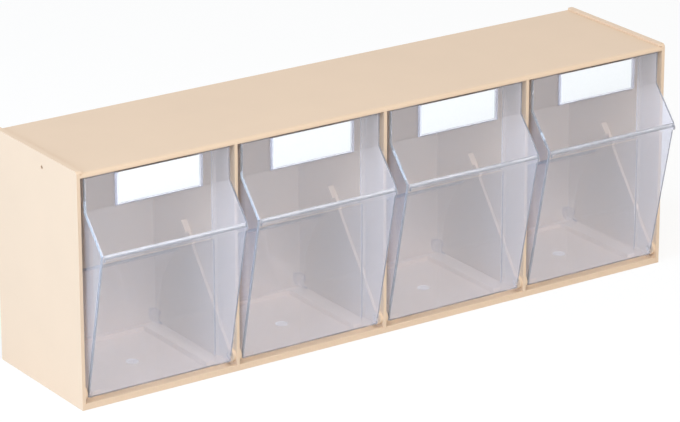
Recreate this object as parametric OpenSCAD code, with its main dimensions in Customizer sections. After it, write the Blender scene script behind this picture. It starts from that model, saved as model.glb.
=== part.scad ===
// Tilt-out bin unit: a beige moulded carcase that holds a row of clear bins.
// Each bin hangs on two low trunnions, so its top tips forward until its stop lugs meet the hooks.
// Millimetres, +Z up, X along the row. The bins open towards -Y.
// The origin is on the ground, under the middle of the whole unit with its noses.

/* [Unit] */
// Width over the two end panels
unit_w = 600; // [480:10:740]
// Height over the lips of the end panels
unit_h = 206.4; // [170:0.1:250]
// Depth of the carcase, without the noses of the bins
carcase_d = 134; // [110:1:165]

/* [Panels] */
// Thickness of an end panel
end_t = 3.2; // [2.5:0.1:4]
// Thickness of a divider
divider_t = 3; // [2.4:0.1:4]
// Thickness of the top panel
top_t = 3; // [2.5:0.1:4]
// Thickness of the floor panel
floor_t = 3; // [2.5:0.1:4]
// Thickness of the back panel
back_t = 2.5; // [2:0.1:4]
// Width of the lip along the top of an end panel
lip_w = 5; // [4:0.5:8]
// Height of that lip above the top panel
lip_h = 2; // [1:0.5:4]
// Depth of the hanging rim along the front of the top panel, measured from its face
top_rim_h = 4; // [3.5:0.5:8]
// Height of the standing rim along the front of the floor panel, measured from the ground
floor_rim_h = 5.5; // [4:0.1:5.8]
// Thickness of both rims, front to back
rim_t = 3; // [2:0.5:5]
// Radius of the front edge of the top panel
top_edge_r = 3; // [1:0.5:3.5]
// Height of the rails that a closed bin rests over
rail_h = 4.7; // [3.5:0.1:4.8]
// Width of those rails
rail_w = 8; // [4:1:12]
// Radius of the screw hole in each end panel
end_hole_r = 1.5; // [1:0.1:2.5]
// Radius of the wall screw holes in the back panel
wall_hole_r = 2.25; // [1.5:0.25:3.5]

/* [Bins] */
// Wall thickness of a bin
wall = 2; // [1.4:0.1:2.6]
// Gap between a bin and the panel beside it
side_gap = 3.3; // [3:0.1:4.5]
// Height of the upright face that carries the label
label_face_h = 27.9; // [20:0.1:40]
// Angle of the upper sloping face from upright
slope_a = 40.5; // [35:0.1:50]
// Angle of the lower front face from upright
lean_a = 12.12; // [8:0.01:16]
// How far the finger lip runs past the knee of the front
lip_past = 2.1; // [1.5:0.1:5]
// Thickness of the finger lip
lip_t = 3; // [2:0.5:5]
// How far each end of the finger lip stays short of the bin's side
lip_short = 2; // [1:0.5:5]
// Depth of the wide front part, from the label face to its rear edge
hood_d = 23; // [18:1:30]
// How much narrower the rear tub is on each side
tub_step = 4; // [3:0.5:6]
// Angle of the tub's rear rim above the pivot
rear_rim_a = 45.6; // [35:0.1:50]
// Height of the tub's side rim above the pivot, where it meets the front part
side_rim_h = 100.5; // [80:0.5:115]
// Radius of the long corners between the floor of a bin and its sides
floor_corner_r = 4; // [2.5:0.5:6]
// How far the bevelled edges between the front faces of a bin and its sides reach along both
front_edge = 1.6; // [0.8:0.1:2]

/* [Pivot and stop] */
// Largest tilt of a bin, in degrees
tilt_max = 50; // [30:1:58]
// Distance of the pivot behind the front of the carcase
pivot_y = 7; // [6.5:0.5:12]
// Height of the pivot above the ground
pivot_z = 13; // [12:0.5:18]
// Radius of a trunnion
trunnion_r = 3; // [2:0.1:3.5]
// Running clearance between a trunnion and its socket
pivot_fit = 0.06; // [0.02:0.01:0.1]
// Outer radius of the socket boss
boss_r = 6; // [5:0.5:6]
// Height of the boss and of the rib on a panel's face
rib_h = 2.6; // [1.5:0.1:2.7]
// Width of the rib
rib_w = 4.5; // [3:0.5:7]
// Height of the hook at the rib's end
hook_h = 5.5; // [4.5:0.1:6]
// Length of the hook along the rib
hook_len = 11; // [8:0.5:14]
// Length of the tail behind the tub that carries the stop lug
tail_len = 16; // [13:0.5:20]
// Height of that tail
tail_h = 10; // [6:0.5:14]
// Free space behind the tail
rear_gap = 3.5; // [2.5:0.5:8]
// Play between a stop lug and its hook at full tilt
stop_play = 0.3; // [0.2:0.1:0.6]

/* [Label] */
// Width of the label card
card_w = 79; // [50:1:90]
// Thickness of the card
card_t = 0.4; // [0.2:0.1:0.6]
// Width of the holder's rails
holder_rail_w = 2.8; // [2:0.1:4]
// Depth of the holder in front of the label face
holder_d = 1.6; // [1.2:0.1:2.4]
// How far the rails reach over the card's edges
holder_grip = 1; // [0.5:0.1:1.5]

/* [Hidden] */
$fn = 64;

bins = 4;
rest_gap = 0.3;        // between a closed bin and the rails under it
top_gap = 1;           // between a bin's top edge and the rim above it
slack = 0.1;           // round the label card in its holder
over = 1;              // how far a cut runs past the face it opens

// Heights, from the ground up
rail_top_z = floor_t + rail_h;
bin_z = rail_top_z + rest_gap;
top_face_z = unit_h - lip_h;
top_under_z = top_face_z - top_t;
top_rim_z = top_face_z - top_rim_h;
bin_top_z = top_rim_z - top_gap;
slope_top_z = bin_top_z - label_face_h;

// The row of compartments
comp_w = (unit_w - 2 * end_t - (bins - 1) * divider_t) / bins;
pitch = comp_w + divider_t;
hood_half = comp_w / 2 - side_gap;
tub_half = hood_half - tub_step;
function comp_x(i) = (i - (bins - 1) / 2) * pitch;
function divider_x(i) = comp_x(i) + pitch / 2;

// The bin's front: the two sloping faces meet at the knee
foot_y = 2.7;
slope_k = tan(slope_a);
lean_k = tan(lean_a);
knee_z = (foot_y + bin_z * lean_k + slope_top_z * slope_k) / (slope_k + lean_k);
knee_y = foot_y - (knee_z - bin_z) * lean_k;
nose_reach = lip_past - knee_y;
nose_z = slope_top_z - nose_reach / slope_k;

// The tub's rear wall turns about the pivot, as far back as its tail lets it
back_in_y = carcase_d - back_t;
tail_r = back_in_y - rear_gap - pivot_y;
tub_r = tail_r - tail_len;
foot_r = 2.5;
gate_y = 49;
gate_r = 5.5;
gate_depth = 0.5;
flange_r = 8;

// The stop: lug on the tail, hook on the panel
lug_inset = 2;
lug_w = 12;
lug_h = 4;
lug_gap = side_gap + tub_step - rib_h - 1.2;
hook_r = tail_r - hook_len;
hook_z = bin_z + tail_h - pivot_z + stop_play;
rib_a = tilt_max + asin((hook_z + rib_w / 2) / (hook_r + hook_len / 2));
socket_depth = 1;
trunnion_end_gap = 0.3;
trunnion_out = side_gap + socket_depth - trunnion_end_gap;

// Joints between the panels
ledge_w = 2;
ledge_h = 2.5;
tab_w = 24;
tab_h = 1.5;
tab_y = [28, back_in_y - tab_w - 7.5];
end_hole_y = 56;
end_hole_drop = 11.9;
wall_hole_x = 225;
wall_hole_drop = 22;

// The rails that shape each compartment's floor
rail_x = 55;
rail_front_y = 14;
rail_back_y = tub_r + pivot_y + 10;

// The label
card_z = slope_top_z + 0.6;
card_h = bin_top_z - card_z - 0.4;
card_slot = card_t + 2 * slack;

mid_y = (carcase_d - nose_reach) / 2;
beige = "#e6d0b8";
clear = [0.86, 0.89, 0.95, 0.35];

// Puts the front face of the carcase where the origin needs it
module placed() {
    translate([0, -mid_y, 0])
        children();
}

// Extrudes an outline drawn in Y and Z across the row
module across(w) {
    rotate([90, 0, 90])
        linear_extrude(w, center = true)
            children();
}

// Extrudes an outline drawn in X and Z from y0 back to y1
module rearwards(y0, y1) {
    translate([0, y1, 0])
        rotate([90, 0, 0])
            linear_extrude(y1 - y0)
                children();
}

function unit(v) = v / norm(v);
function left_of(v) = [-v[1], v[0]];

// Moves every side of a counter-clockwise outline inwards by d
function inset(p, d) = [
    for (i = [0 : len(p) - 1])
        let (
            before = p[(i + len(p) - 1) % len(p)],
            after = p[(i + 1) % len(p)],
            m = left_of(unit(p[i] - before)),
            n = left_of(unit(after - p[i]))
        )
        p[i] + d * (m + n) / (1 + m * n)
];

// The sliver between a sharp corner p and its round of radius r, with the corner's sides towards a and b
module corner(p, a, b, r) {
    u = unit(a - p);
    v = unit(b - p);
    half = acos(u * v) / 2;
    c = p + unit(u + v) * r / sin(half);
    difference() {
        polygon([p, p + u * r / tan(half), c, p + v * r / tan(half)]);
        translate(c)
            circle(r);
    }
}

// A box outline in X and Z with its two lower corners rounded
module trough(half, z0, z1, r) {
    difference() {
        translate([-half, z0])
            square([2 * half, z1 - z0]);
        corner([-half, z0], [0, z0], [-half, z1], r);
        corner([half, z0], [0, z0], [half, z1], r);
    }
}

// Half of the pivot and stop fittings stand on each panel face: this is one face, looking along +X
module panel_fittings() {
    translate([0, pivot_y, pivot_z]) {
        rotate([0, 90, 0])
            cylinder(h = rib_h, r = boss_r);
        rotate([rib_a, 0, 0])
            translate([0, 0, -rib_w / 2])
                cube([rib_h, tail_r - hook_len / 2, rib_w]);
        rotate([tilt_max, 0, 0])
            translate([0, hook_r, hook_z])
                cube([hook_h, hook_len, rib_w]);
    }
}

// The blind hole that a trunnion turns in, through the boss and into the panel behind it
module panel_socket() {
    translate([-socket_depth, pivot_y, pivot_z])
        rotate([0, 90, 0])
            cylinder(h = socket_depth + rib_h + over, r = trunnion_r + pivot_fit);
}

// Top panel: a plate with a rounded front edge and a short hanging rim
module top_panel() {
    color(beige) placed() difference() {
        across(unit_w - 2 * end_t) difference() {
            union() {
                translate([0, top_under_z])
                    square([carcase_d, top_t]);
                translate([0, top_rim_z])
                    square([rim_t, top_rim_h]);
            }
            corner([0, top_face_z], [0, 0], [carcase_d, top_face_z], top_edge_r);
        }
        for (i = [0 : bins - 2], y = tab_y)
            translate([divider_x(i) - divider_t / 2, y, top_under_z - over])
                cube([divider_t, tab_w, tab_h + over]);
    }
}

// Floor panel: a plate with a standing front rim and, in each compartment, a U of rails
module floor_panel() {
    color(beige) placed() difference() {
        union() {
            across(unit_w - 2 * end_t) {
                square([carcase_d, floor_t]);
                square([rim_t, floor_rim_h]);
            }
            for (i = [0 : bins - 1])
                translate([comp_x(i), 0, 0])
                    floor_rails();
        }
        for (i = [0 : bins - 2], y = tab_y)
            translate([divider_x(i) - divider_t / 2, y, floor_t - tab_h])
                cube([divider_t, tab_w, tab_h + over]);
    }
}

module floor_rails() {
    for (side = [-1, 1])
        translate([side * rail_x - rail_w / 2, rail_front_y, 0])
            cube([rail_w, rail_back_y - rail_front_y, rail_top_z]);
    translate([-rail_x, rail_back_y - rail_w, 0])
        cube([2 * rail_x, rail_w, rail_top_z]);
}

// Back panel: closes the carcase between the end panels, with two holes for wall screws
module back_panel() {
    color(beige) placed() difference() {
        translate([-unit_w / 2 + end_t, back_in_y, floor_t])
            cube([unit_w - 2 * end_t, back_t, top_under_z - floor_t]);
        for (side = [-1, 1])
            translate([side * wall_hole_x, carcase_d + over, top_under_z - wall_hole_drop])
                rotate([90, 0, 0])
                    cylinder(h = back_t + 2 * over, r = wall_hole_r);
    }
}

// An end panel with its outer face at x = 0 and its fittings towards +X
module end_panel() {
    color(beige) difference() {
        union() {
            cube([end_t, carcase_d, unit_h]);
            translate([0, 0, top_face_z])
                cube([lip_w, carcase_d, lip_h]);
            translate([0, rim_t, top_under_z - ledge_h])
                cube([end_t + ledge_w, back_in_y - rim_t, ledge_h]);
            translate([0, rim_t, floor_t])
                cube([end_t + ledge_w, back_in_y - rim_t, ledge_h]);
            translate([end_t, 0, 0])
                panel_fittings();
        }
        translate([end_t, 0, 0])
            panel_socket();
        translate([-over, end_hole_y, unit_h - end_hole_drop])
            rotate([0, 90, 0])
                cylinder(h = end_t + 2 * over, r = end_hole_r);
        // The lip's front end is rounded like the edge of the top panel
        translate([lip_w / 2, 0, 0])
            across(lip_w + 2 * over)
                corner([0, unit_h], [0, 0], [carcase_d, unit_h], top_edge_r);
    }
}

module end_panel_left() {
    placed()
        translate([-unit_w / 2, 0, 0])
            end_panel();
}

module end_panel_right() {
    mirror([1, 0, 0])
        end_panel_left();
}

// Divider i: a plate notched round both front rims, with tabs for the floor and the top panel
module divider(i) {
    color(beige) placed() translate([divider_x(i), 0, 0]) difference() {
        union() {
            across(divider_t) {
                difference() {
                    translate([0, floor_t])
                        square([back_in_y, top_under_z - floor_t]);
                    square([rim_t, floor_rim_h]);
                    translate([0, top_rim_z])
                        square([rim_t, top_rim_h]);
                }
                for (y = tab_y)
                    translate([y, floor_t - tab_h])
                        square([tab_w, top_under_z - floor_t + 2 * tab_h]);
            }
            for (side = [0, 1])
                mirror([side, 0, 0])
                    translate([divider_t / 2, 0, 0])
                        panel_fittings();
        }
        for (side = [0, 1])
            mirror([side, 0, 0])
                translate([divider_t / 2, 0, 0])
                    panel_socket();
    }
}

// The wide front part in Y and Z, up to the height z1
function hood_points(z1) = [
    [0, z1],
    [0, slope_top_z],
    [knee_y, knee_z],
    [foot_y, bin_z],
    [hood_d, bin_z],
    [hood_d, z1]
];

// The upright slab behind the label face, down into the sloping part
module slab_outline() {
    p = hood_points(bin_top_z);
    low = slope_top_z - 2 * flange_r;
    difference() {
        polygon([p[0], [0, low], [hood_d, low], p[5]]);
        corner(p[5], p[4], p[0], flange_r);
    }
}

// The part that slopes out to the knee and back to the foot, up into the slab
module slope_outline() {
    p = hood_points(slope_top_z);
    polygon([p[1] + flange_r * [1, 1 / slope_k], p[2], p[3], p[4], p[5]]);
}

// What the bevelled side edges of a front face leave out, where the face runs from a towards b
module side_bevel(a, b) {
    run = 2 * unit_h;
    translate([0, a[0], a[1]])
        rotate([atan2(b[1] - a[1], b[0] - a[0]), 0, 0])
            rearwards(-run, run)
                for (side = [-1, 1])
                    polygon([
                        [side * (hood_half - front_edge - over), -over],
                        [side * (hood_half + over), -over],
                        [side * (hood_half + over), front_edge + over]
                    ]);
}

// The wide front part, with its side edges bevelled
module hood() {
    p = hood_points(bin_top_z);
    intersection() {
        union() {
            difference() {
                across(2 * hood_half)
                    slab_outline();
                side_bevel(p[0], p[1]);
            }
            difference() {
                across(2 * hood_half)
                    slope_outline();
                side_bevel(p[1], p[2]);
                side_bevel(p[2], p[3]);
            }
        }
        rearwards(-nose_reach - over, hood_d + over)
            trough(hood_half, bin_z, bin_top_z + over, floor_corner_r);
    }
}

// What the rounded lower front edge leaves out
module foot_round() {
    p = hood_points(bin_top_z);
    corner(p[3], p[2], p[4], foot_r);
}

// The finger lip that carries the upper slope on past the knee
module lip_outline() {
    tip = [-nose_reach, nose_z];
    low = [-nose_reach, nose_z - lip_t];
    root = [foot_y - (low[1] - bin_z) * lean_k, low[1]];
    difference() {
        polygon([[knee_y, knee_z], tip, low, root + [0.5, 0]]);
        corner(low, tip, root, lip_t / 3);
    }
}

// The rear tub in Y and Z: its back wall is an arc about the pivot, its rim slopes up to the front part
module tub_outline(r, z0, lift) {
    rear_rim = [pivot_y + tub_r * cos(rear_rim_a), pivot_z + tub_r * sin(rear_rim_a)];
    side_rim = [hood_d, pivot_z + side_rim_h];
    intersection() {
        translate([pivot_y, pivot_z])
            circle(r, $fn = 128);
        polygon([
            [hood_d - wall, z0],
            [pivot_y + tub_r + over, z0],
            [pivot_y + tub_r + over, rear_rim[1] + lift],
            rear_rim + [0, lift],
            side_rim + [0, lift],
            [hood_d - wall, side_rim[1] + lift]
        ]);
    }
}

// The tail behind the tub's side wall, with the lug that meets the hook at full tilt
module stop_tail() {
    tail_top = bin_z + tail_h;
    translate([tub_half - wall, 0, 0]) {
        translate([wall / 2, 0, 0])
            across(wall) difference() {
                translate([pivot_y + tub_r - 3 * wall, bin_z])
                    square([tail_r - tub_r + 3 * wall, tail_h]);
                corner([pivot_y + tail_r, bin_z], [0, bin_z], [pivot_y + tail_r, tail_top], tail_h / 3);
            }
        translate([0, pivot_y + tail_r - lug_inset - lug_w, tail_top - lug_h])
            cube([wall + lug_gap, lug_w, lug_h]);
    }
}

// One bin, a single clear moulding, round the middle of its compartment
module bin_shape() {
    difference() {
        union() {
            hood();
            intersection() {
                across(2 * tub_half)
                    tub_outline(tub_r, bin_z, 0);
                rearwards(0, carcase_d)
                    trough(tub_half, bin_z, unit_h, floor_corner_r);
            }
            across(2 * (hood_half - lip_short))
                lip_outline();
        }
        across(2 * hood_half + over)
            foot_round();
        intersection() {
            across(2 * (hood_half - wall))
                polygon(inset(hood_points(bin_top_z + wall + over), wall));
            rearwards(-nose_reach, hood_d)
                trough(hood_half - wall, bin_z + wall, unit_h, floor_corner_r - wall);
        }
        intersection() {
            across(2 * (tub_half - wall))
                tub_space();
            rearwards(0, carcase_d)
                trough(tub_half - wall, bin_z + wall, unit_h, floor_corner_r - wall);
        }
        translate([0, gate_y, bin_z + wall - gate_depth])
            cylinder(h = gate_depth + over, r = gate_r);
    }
    for (side = [0, 1])
        mirror([side, 0, 0]) {
            translate([hood_half - wall / 2, pivot_y, pivot_z])
                rotate([0, 90, 0])
                    cylinder(h = trunnion_out + wall / 2, r = trunnion_r);
            stop_tail();
        }
}

// The space inside the tub, open upwards and towards the front part
module tub_space() {
    intersection() {
        translate([pivot_y, pivot_z])
            circle(tub_r - wall, $fn = 128);
        translate([hood_d - wall - over, 0])
            square([carcase_d, unit_h]);
    }
    translate([hood_d - wall - over, pivot_z])
        square([wall + 2 * over, unit_h]);
}

module bin(i) {
    color(clear) placed()
        translate([comp_x(i), 0, 0])
            bin_shape();
}

// Label holder i: two side rails and a foot rail that grip the card against the label face
module label_holder(i) {
    rail_half = card_w / 2 + slack;
    color(clear) placed() translate([comp_x(i), 0, 0]) difference() {
        translate([-rail_half - holder_rail_w + holder_grip, -holder_d, slope_top_z])
            cube([2 * (rail_half + holder_rail_w - holder_grip), holder_d, bin_top_z - slope_top_z]);
        translate([-rail_half, -card_slot, card_z - slack])
            cube([2 * rail_half, card_slot + over, label_face_h]);
        translate([-rail_half + holder_grip, -holder_d - over, card_z - slack + holder_grip])
            cube([2 * (rail_half - holder_grip), holder_d + 2 * over, label_face_h]);
    }
}

// Label card i, a blank strip of card
module label_card(i) {
    color("white") placed()
        translate([comp_x(i) - card_w / 2, -card_slot + slack, card_z])
            cube([card_w, card_t, card_h]);
}

top_panel();
floor_panel();
back_panel();
end_panel_left();
end_panel_right();
divider(0);  // divider_1
divider(1);  // divider_2
divider(2);  // divider_3
bin(0);  // bin_1
bin(1);  // bin_2
bin(2);  // bin_3
bin(3);  // bin_4
label_holder(0);  // label_holder_1
label_holder(1);  // label_holder_2
label_holder(2);  // label_holder_3
label_holder(3);  // label_holder_4
label_card(0);  // label_card_1
label_card(1);  // label_card_2
label_card(2);  // label_card_3
label_card(3);  // label_card_4
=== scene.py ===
from math import cos, radians, sin

import bpy
from bpy.props import FloatProperty, FloatVectorProperty, PointerProperty, StringProperty
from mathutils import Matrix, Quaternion, Vector


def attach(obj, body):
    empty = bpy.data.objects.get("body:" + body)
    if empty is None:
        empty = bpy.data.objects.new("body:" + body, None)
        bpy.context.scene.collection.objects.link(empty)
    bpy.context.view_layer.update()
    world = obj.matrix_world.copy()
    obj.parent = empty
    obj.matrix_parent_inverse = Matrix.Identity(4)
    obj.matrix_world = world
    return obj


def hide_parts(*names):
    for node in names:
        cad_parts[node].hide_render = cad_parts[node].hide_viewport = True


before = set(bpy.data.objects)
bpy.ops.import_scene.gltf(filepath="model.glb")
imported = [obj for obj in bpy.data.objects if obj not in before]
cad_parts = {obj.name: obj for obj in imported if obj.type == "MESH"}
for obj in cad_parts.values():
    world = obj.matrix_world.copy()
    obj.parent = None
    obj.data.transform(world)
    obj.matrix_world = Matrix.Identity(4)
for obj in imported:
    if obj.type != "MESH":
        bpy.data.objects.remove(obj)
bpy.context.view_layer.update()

bl_info = {
    "name": "Tilt-out bin unit",
    "version": (1, 0, 0),
    "blender": (4, 5, 0),
    "location": "3D View > Sidebar > Tilt-out bins",
    "description": "Finishes a beige carcase with four clear tilt-out bins round its packed frame",
    "category": "Add Mesh",
}

MM = 0.001
BINS = (1, 2, 3, 4)
PANELS = (
    "top_panel", "floor_panel", "back_panel", "end_panel_left", "end_panel_right",
    "divider_1", "divider_2", "divider_3",
)
SMOOTH_ANGLE = radians(30)
FLAT_ANGLE = radians(0.1)
SAME_PLACE = 0.001 * MM
SENSOR_WIDTH = 36

# The round gate mark in a bin's floor: its middle, and how far its softened edge reaches from there
GATE_Y = -4 * MM
GATE_Z = 9.75 * MM
GATE_REACH = 6.1 * MM

# Material sizes and indices of refraction
CLOUD = 60 * MM
FIBRE = 1.5 * MM
ABS_IOR = 1.52
POLYSTYRENE_IOR = 1.57

# The studio. OWN_WHITE is the part of the floor's white that no shadow dims.
OWN_WHITE = 0.8
FLOOR_SIZE = 12
AIM = Vector((0, 0, 0.1))
KEY_PLACE, KEY_SIZE = (-2.25, -0.2, 0.8), (1.8, 1.2)
FRONT_PLACE, FRONT_SIZE = (-0.5, -1.9, 2.2), (1.7, 1.4)


# Settings that a user would change

class CarcaseSettings(bpy.types.PropertyGroup):
    """The moulded beige panels."""

    colour: StringProperty(
        name="Colour", description="Colour of the moulded panels, as sRGB hex", default="E2C7AB"
    )
    edge: FloatProperty(
        name="Edge radius", description="Softened edge of a moulded panel", default=0.35 * MM,
        min=0.1 * MM, max=1 * MM, unit="LENGTH",
    )
    grain: FloatProperty(
        name="Grain", description="Spacing of the fine texture that the mould leaves",
        default=0.9 * MM, min=0.3 * MM, max=3 * MM, unit="LENGTH",
    )


class BinSettings(bpy.types.PropertyGroup):
    """The clear bins and label holders."""

    tint: StringProperty(
        name="Tint", description="Colour of light that passes a wall, as sRGB hex", default="F5F5FB"
    )
    edge: FloatProperty(
        name="Edge radius", description="Softened edge of a clear moulding", default=0.5 * MM,
        min=0.1 * MM, max=0.8 * MM, unit="LENGTH",
    )
    clarity: FloatProperty(
        name="Clarity", description="Share of light that passes a wall without being scattered",
        default=0.86, min=0.5, max=1, subtype="FACTOR",
    )
    # The rounded edges are made milky so that they show as white lines: a painted highlight along every
    # edge of a bin.
    edge_highlight_clarity: FloatProperty(
        name="Edge clarity", description="The same share along the rounded edges, which look whiter",
        default=0.35, min=0, max=1, subtype="FACTOR",
    )
    wave: FloatProperty(
        name="Wave", description="Length of the faint waves left in a clear wall",
        default=35 * MM, min=10 * MM, max=100 * MM, unit="LENGTH",
    )


class StageSettings(bpy.types.PropertyGroup):
    """The camera, the lights and the floor."""

    camera_place: FloatVectorProperty(
        name="Camera place", description="Where the camera stands", size=3,
        default=(-1.6843, -2.4658, 1.1945), subtype="TRANSLATION", unit="LENGTH",
    )
    camera_azimuth: FloatProperty(
        name="Azimuth", description="Direction of the view, 0 looking along +Y",
        default=radians(-34.169), unit="ROTATION",
    )
    camera_elevation: FloatProperty(
        name="Elevation", description="Height of the view above level",
        default=radians(20.206), unit="ROTATION",
    )
    camera_roll: FloatProperty(
        name="Roll", description="Turn of the camera about its view",
        default=radians(-0.064), unit="ROTATION",
    )
    lens: FloatProperty(
        name="Lens", description="Focal length on a 36 mm sensor", default=195.87, unit="CAMERA"
    )
    key_power: FloatProperty(
        name="Key light", description="Power of the cool light on the left", default=42, unit="POWER"
    )
    front_power: FloatProperty(
        name="Front light", description="Power of the soft light in front", default=42, unit="POWER"
    )
    fill: FloatProperty(
        name="Fill", description="Strength of the even studio light", default=0.53, subtype="FACTOR"
    )


# Small helpers

def linear(hex_colour):
    """An sRGB hex colour as linear red, green, blue and alpha."""
    parts = [int(hex_colour[i:i + 2], 16) / 255 for i in (0, 2, 4)]
    return [p / 12.92 if p <= 0.04045 else ((p + 0.055) / 1.055) ** 2.4 for p in parts] + [1.0]


def add_node(tree, kind, links=(), **settings):
    """Adds a node with its settings and socket values. Each link is (socket, from node, from socket)."""
    node = tree.nodes.new(kind)
    for name, value in settings.pop("inputs", {}).items():
        node.inputs[name].default_value = value
    for name, value in settings.items():
        setattr(node, name, value)
    for socket, source, output in links:
        tree.links.new(source.outputs[output], node.inputs[socket])
    return node


def seen_white(tree):
    """A value of 1 for rays that the eye follows: from the camera, mirrored or through clear plastic."""
    ray = add_node(tree, "ShaderNodeLightPath")
    seen = add_node(
        tree, "ShaderNodeMath", operation="MAXIMUM",
        links=[(0, ray, "Is Camera Ray"), (1, ray, "Is Glossy Ray")],
    )
    return add_node(
        tree, "ShaderNodeMath", operation="MAXIMUM",
        links=[(0, seen, "Value"), (1, ray, "Is Transmission Ray")],
    )


def new_material(name):
    """A material whose node tree holds only its output."""
    material = bpy.data.materials.new(name)
    material.use_nodes = True
    tree = material.node_tree
    tree.nodes.clear()
    return material, tree


def paint(piece, *materials):
    """Gives the whole piece the first material and keeps the others for its edges."""
    piece.data.materials.clear()
    for material in materials:
        piece.data.materials.append(material)
    for face in piece.data.polygons:
        face.material_index = 0


def select_only(piece):
    """Makes piece the one selected and active object."""
    bpy.ops.object.select_all(action="DESELECT")
    piece.select_set(True)
    bpy.context.view_layer.objects.active = piece


def softened_copy(node, name, edge, *materials):
    """A copy of a CAD node with its flat facets merged and its sharp edges rounded.

    The last material goes on the rounds.
    """
    select_only(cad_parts[node])
    bpy.ops.object.duplicate()
    piece = bpy.context.active_object
    piece.name = name
    piece.data.name = name
    piece.parent = None
    for key in list(piece.keys()):
        del piece[key]
    bpy.ops.object.mode_set(mode="EDIT")
    bpy.ops.mesh.select_all(action="SELECT")
    bpy.ops.mesh.remove_doubles(threshold=SAME_PLACE)
    bpy.ops.mesh.dissolve_limited(angle_limit=FLAT_ANGLE)
    bpy.ops.object.mode_set(mode="OBJECT")
    bpy.ops.object.shade_smooth()
    paint(piece, *materials)
    bevel = piece.modifiers.new("soft edges", "BEVEL")
    bevel.width = edge
    bevel.segments = 3
    bevel.limit_method = "ANGLE"
    bevel.angle_limit = SMOOTH_ANGLE
    bevel.material = len(materials) - 1
    even = piece.modifiers.new("flat faces stay flat", "WEIGHTED_NORMAL")
    even.mode = "FACE_AREA"
    even.weight = 100
    for modifier in (bevel, even):
        bpy.ops.object.modifier_apply(modifier=modifier.name)
    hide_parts(node)
    return piece


def whiten_gate_mark(piece):
    """Gives the shallow round gate mark in a bin's floor the whiter material of its edges, which paints
    their highlight.
    """
    xs = [corner[0] for corner in piece.bound_box]
    centre = Vector(((min(xs) + max(xs)) / 2, GATE_Y, GATE_Z))
    points = piece.data.vertices
    for face in piece.data.polygons:
        if all((points[i].co - centre).length < GATE_REACH for i in face.vertices):
            face.material_index = 1


# Materials

def moulded_beige():
    """Moulded ABS in beige: a satin skin, whose fine grain from the mould softens the highlights."""
    settings = bpy.context.scene.tiltbin_carcase
    material, tree = new_material("moulded beige ABS")
    place = add_node(tree, "ShaderNodeTexCoord")
    grain = add_node(
        tree, "ShaderNodeTexNoise", links=[("Vector", place, "Object")],
        inputs={"Scale": 1 / settings.grain, "Detail": 2.0, "Roughness": 0.6},
    )
    cloud = add_node(
        tree, "ShaderNodeTexNoise", links=[("Vector", place, "Object")],
        inputs={"Scale": 1 / CLOUD, "Detail": 3.0, "Roughness": 0.5},
    )
    base = linear(settings.colour)
    shade = add_node(tree, "ShaderNodeValToRGB", links=[("Fac", cloud, "Fac")])
    shade.color_ramp.elements[0].position = 0.3
    shade.color_ramp.elements[0].color = [c * 0.97 for c in base[:3]] + [1]
    shade.color_ramp.elements[1].position = 0.7
    shade.color_ramp.elements[1].color = base
    sheen = add_node(
        tree, "ShaderNodeMapRange", links=[("Value", grain, "Fac")],
        inputs={"From Min": 0.3, "From Max": 0.7, "To Min": 0.36, "To Max": 0.46},
    )
    bump = add_node(
        tree, "ShaderNodeBump", links=[("Height", grain, "Fac")],
        inputs={"Strength": 0.12, "Distance": 0.05 * MM},
    )
    skin = add_node(
        tree, "ShaderNodeBsdfPrincipled",
        links=[
            ("Base Color", shade, "Color"), ("Roughness", sheen, "Result"), ("Normal", bump, "Normal"),
        ],
        inputs={"IOR": ABS_IOR},
    )
    add_node(tree, "ShaderNodeOutputMaterial", links=[("Surface", skin, "BSDF")])
    return material


def clear_polystyrene(name, roughness, clarity):
    """Moulded clear polystyrene: bright gloss, a faint haze and violet tint. Lamps shine through it."""
    settings = bpy.context.scene.tiltbin_bins
    material, tree = new_material(name)
    place = add_node(tree, "ShaderNodeTexCoord")
    wave = add_node(
        tree, "ShaderNodeTexNoise", links=[("Vector", place, "Object")],
        inputs={"Scale": 1 / settings.wave, "Detail": 1.0, "Roughness": 0.4},
    )
    bump = add_node(
        tree, "ShaderNodeBump", links=[("Height", wave, "Fac")],
        inputs={"Strength": 0.1, "Distance": 1 * MM},
    )
    glass = add_node(
        tree, "ShaderNodeBsdfPrincipled", links=[("Normal", bump, "Normal")],
        inputs={
            "Base Color": linear(settings.tint), "Roughness": roughness,
            "IOR": POLYSTYRENE_IOR, "Transmission Weight": clarity,
        },
    )
    lamp_way = add_node(tree, "ShaderNodeBsdfTransparent", inputs={"Color": linear("FCFDFF")})
    ray = add_node(tree, "ShaderNodeLightPath")
    choice = add_node(tree, "ShaderNodeMixShader", links=[("Fac", ray, "Is Shadow Ray")])
    tree.links.new(glass.outputs["BSDF"], choice.inputs[1])
    tree.links.new(lamp_way.outputs["BSDF"], choice.inputs[2])
    add_node(tree, "ShaderNodeOutputMaterial", links=[("Surface", choice, "Shader")])
    return material


def white_card():
    """Uncoated white card: matt, with the faint cloudiness of paper fibre."""
    material, tree = new_material("white card")
    place = add_node(tree, "ShaderNodeTexCoord")
    fibre = add_node(
        tree, "ShaderNodeTexNoise", links=[("Vector", place, "Object")],
        inputs={"Scale": 1 / FIBRE, "Detail": 4.0},
    )
    shade = add_node(tree, "ShaderNodeValToRGB", links=[("Fac", fibre, "Fac")])
    shade.color_ramp.elements[0].color = linear("F3F6F8")
    shade.color_ramp.elements[1].color = linear("FAFCFE")
    bump = add_node(
        tree, "ShaderNodeBump", links=[("Height", fibre, "Fac")],
        inputs={"Strength": 0.1, "Distance": 0.02 * MM},
    )
    skin = add_node(
        tree, "ShaderNodeBsdfPrincipled",
        links=[("Base Color", shade, "Color"), ("Normal", bump, "Normal")],
        inputs={"Roughness": 0.85, "Specular IOR Level": 0.3},
    )
    add_node(tree, "ShaderNodeOutputMaterial", links=[("Surface", skin, "BSDF")])
    return material


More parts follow.
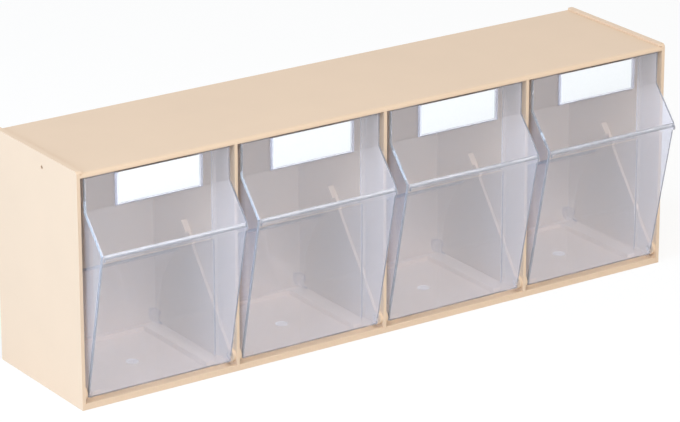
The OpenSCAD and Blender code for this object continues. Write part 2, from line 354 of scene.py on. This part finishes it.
def pale_floor():
    """Seamless white studio paper: mostly its own white to the camera, with the object's soft shadow."""
    material, tree = new_material("white studio paper")
    paper = add_node(
        tree, "ShaderNodeBsdfDiffuse", inputs={"Color": linear("F4F3F1"), "Roughness": 0.6}
    )
    white = add_node(tree, "ShaderNodeEmission", inputs={"Color": [1, 1, 1, 1], "Strength": 1.0})
    share = add_node(
        tree, "ShaderNodeMath", operation="MULTIPLY", links=[(0, seen_white(tree), "Value")]
    )
    share.inputs[1].default_value = OWN_WHITE
    choice = add_node(tree, "ShaderNodeMixShader", links=[("Fac", share, "Value")])
    tree.links.new(paper.outputs["BSDF"], choice.inputs[1])
    tree.links.new(white.outputs["Emission"], choice.inputs[2])
    add_node(tree, "ShaderNodeOutputMaterial", links=[("Surface", choice, "Shader")])
    return material


# Operators, one for each kind of piece

class TILTBIN_OT_carcase(bpy.types.Operator):
    """Finish the beige panels of the carcase."""

    bl_idname = "tiltbin.carcase"
    bl_label = "Carcase panels"

    def execute(self, context):
        plastic = moulded_beige()
        for node in PANELS:
            piece = softened_copy(node, "moulded_" + node, context.scene.tiltbin_carcase.edge, plastic)
            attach(piece, "carcase")
        return {"FINISHED"}


class TILTBIN_OT_bins(bpy.types.Operator):
    """Finish the clear bins."""

    bl_idname = "tiltbin.bins"
    bl_label = "Clear bins"

    def execute(self, context):
        settings = context.scene.tiltbin_bins
        plastic = clear_polystyrene("clear polystyrene", 0.02, settings.clarity)
        # The rounds get a milky, rougher copy of the clear plastic: a painted highlight along the bins'
        # edges.
        rounds = clear_polystyrene("clear polystyrene painted edge highlight", 0.3, settings.edge_highlight_clarity)
        for i in BINS:
            piece = softened_copy(f"bin_{i}", f"clear_bin_{i}", settings.edge, plastic, rounds)
            whiten_gate_mark(piece)
            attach(piece, f"bin_{i}")
        return {"FINISHED"}


class TILTBIN_OT_holders(bpy.types.Operator):
    """Finish the clear label holders."""

    bl_idname = "tiltbin.holders"
    bl_label = "Label holders"

    def execute(self, context):
        plastic = clear_polystyrene("clear extruded holder", 0.05, context.scene.tiltbin_bins.clarity)
        for i in BINS:
            piece = softened_copy(f"label_holder_{i}", f"card_holder_{i}", 0.15 * MM, plastic)
            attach(piece, f"bin_{i}")
        return {"FINISHED"}


class TILTBIN_OT_cards(bpy.types.Operator):
    """Finish the white label cards."""

    bl_idname = "tiltbin.cards"
    bl_label = "Label cards"

    def execute(self, context):
        card = white_card()
        for i in BINS:
            piece = softened_copy(f"label_card_{i}", f"blank_card_{i}", 0.05 * MM, card)
            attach(piece, f"bin_{i}")
        return {"FINISHED"}


class TILTBIN_OT_stage(bpy.types.Operator):
    """Set up the floor, the lights and the camera."""

    bl_idname = "tiltbin.stage"
    bl_label = "Stage"

    def softbox(self, context, name, place, size, power, colour):
        """A rectangular area light that points at the unit."""
        bpy.ops.object.light_add(type="AREA", location=place)
        lamp = context.active_object
        lamp.name = name
        lamp.data.shape = "RECTANGLE"
        lamp.data.size, lamp.data.size_y = size
        lamp.data.energy = power
        lamp.data.color = linear(colour)[:3]
        lamp.rotation_euler = (AIM - lamp.location).to_track_quat("-Z", "Y").to_euler()

    def execute(self, context):
        settings = context.scene.tiltbin_stage
        bpy.ops.object.select_all(action="DESELECT")
        bpy.ops.mesh.primitive_plane_add(size=FLOOR_SIZE, location=(0, 0, 0))
        floor = context.active_object
        floor.name = "studio_floor"
        paint(floor, pale_floor())

        self.softbox(context, "key_light", KEY_PLACE, KEY_SIZE, settings.key_power, "C8E2FF")
        self.softbox(
            context, "front_light", FRONT_PLACE, FRONT_SIZE, settings.front_power, "FFFDF8"
        )

        world = bpy.data.worlds.new("studio")
        context.scene.world = world
        world.use_nodes = True
        tree = world.node_tree
        tree.nodes.clear()
        light = add_node(
            tree, "ShaderNodeBackground", inputs={"Color": [1, 1, 1, 1], "Strength": settings.fill}
        )
        white = add_node(tree, "ShaderNodeBackground", inputs={"Color": [1, 1, 1, 1], "Strength": 1.0})
        choice = add_node(tree, "ShaderNodeMixShader", links=[("Fac", seen_white(tree), "Value")])
        tree.links.new(light.outputs["Background"], choice.inputs[1])
        tree.links.new(white.outputs["Background"], choice.inputs[2])
        add_node(tree, "ShaderNodeOutputWorld", links=[("Surface", choice, "Shader")])

        a, e = settings.camera_azimuth, settings.camera_elevation
        back = Vector((sin(a) * cos(e), -cos(a) * cos(e), sin(e)))
        bpy.ops.object.camera_add(location=settings.camera_place)
        camera = context.active_object
        camera.name = "photo_camera"
        camera.rotation_mode = "QUATERNION"
        turn = Quaternion((0, 0, 1), settings.camera_roll)
        camera.rotation_quaternion = (-back).to_track_quat("-Z", "Y") @ turn
        camera.data.sensor_width = SENSOR_WIDTH
        camera.data.lens = settings.lens
        camera.data.clip_end = 50
        context.scene.camera = camera
        context.scene.view_settings.view_transform = "Standard"
        return {"FINISHED"}


class TILTBIN_PT_panel(bpy.types.Panel):
    """Lists the pieces of the unit."""

    bl_idname = "TILTBIN_PT_panel"
    bl_label = "Tilt-out bins"
    bl_space_type = "VIEW_3D"
    bl_region_type = "UI"
    bl_category = "Tilt-out bins"

    def draw(self, context):
        for operator in OPERATORS:
            self.layout.operator(operator.bl_idname)


GROUPS = {
    "tiltbin_carcase": CarcaseSettings,
    "tiltbin_bins": BinSettings,
    "tiltbin_stage": StageSettings,
}
OPERATORS = (
    TILTBIN_OT_carcase, TILTBIN_OT_bins, TILTBIN_OT_holders, TILTBIN_OT_cards, TILTBIN_OT_stage,
)


def register():
    for name, group in GROUPS.items():
        bpy.utils.register_class(group)
        setattr(bpy.types.Scene, name, PointerProperty(type=group))
    for operator in OPERATORS:
        bpy.utils.register_class(operator)
    bpy.utils.register_class(TILTBIN_PT_panel)


def unregister():
    bpy.utils.unregister_class(TILTBIN_PT_panel)
    for operator in reversed(OPERATORS):
        bpy.utils.unregister_class(operator)
    for name, group in GROUPS.items():
        delattr(bpy.types.Scene, name)
        bpy.utils.unregister_class(group)


def main():
    register()
    bpy.ops.tiltbin.carcase()
    bpy.ops.tiltbin.bins()
    bpy.ops.tiltbin.holders()
    bpy.ops.tiltbin.cards()
    bpy.ops.tiltbin.stage()


if __name__ == "__main__":
    main()
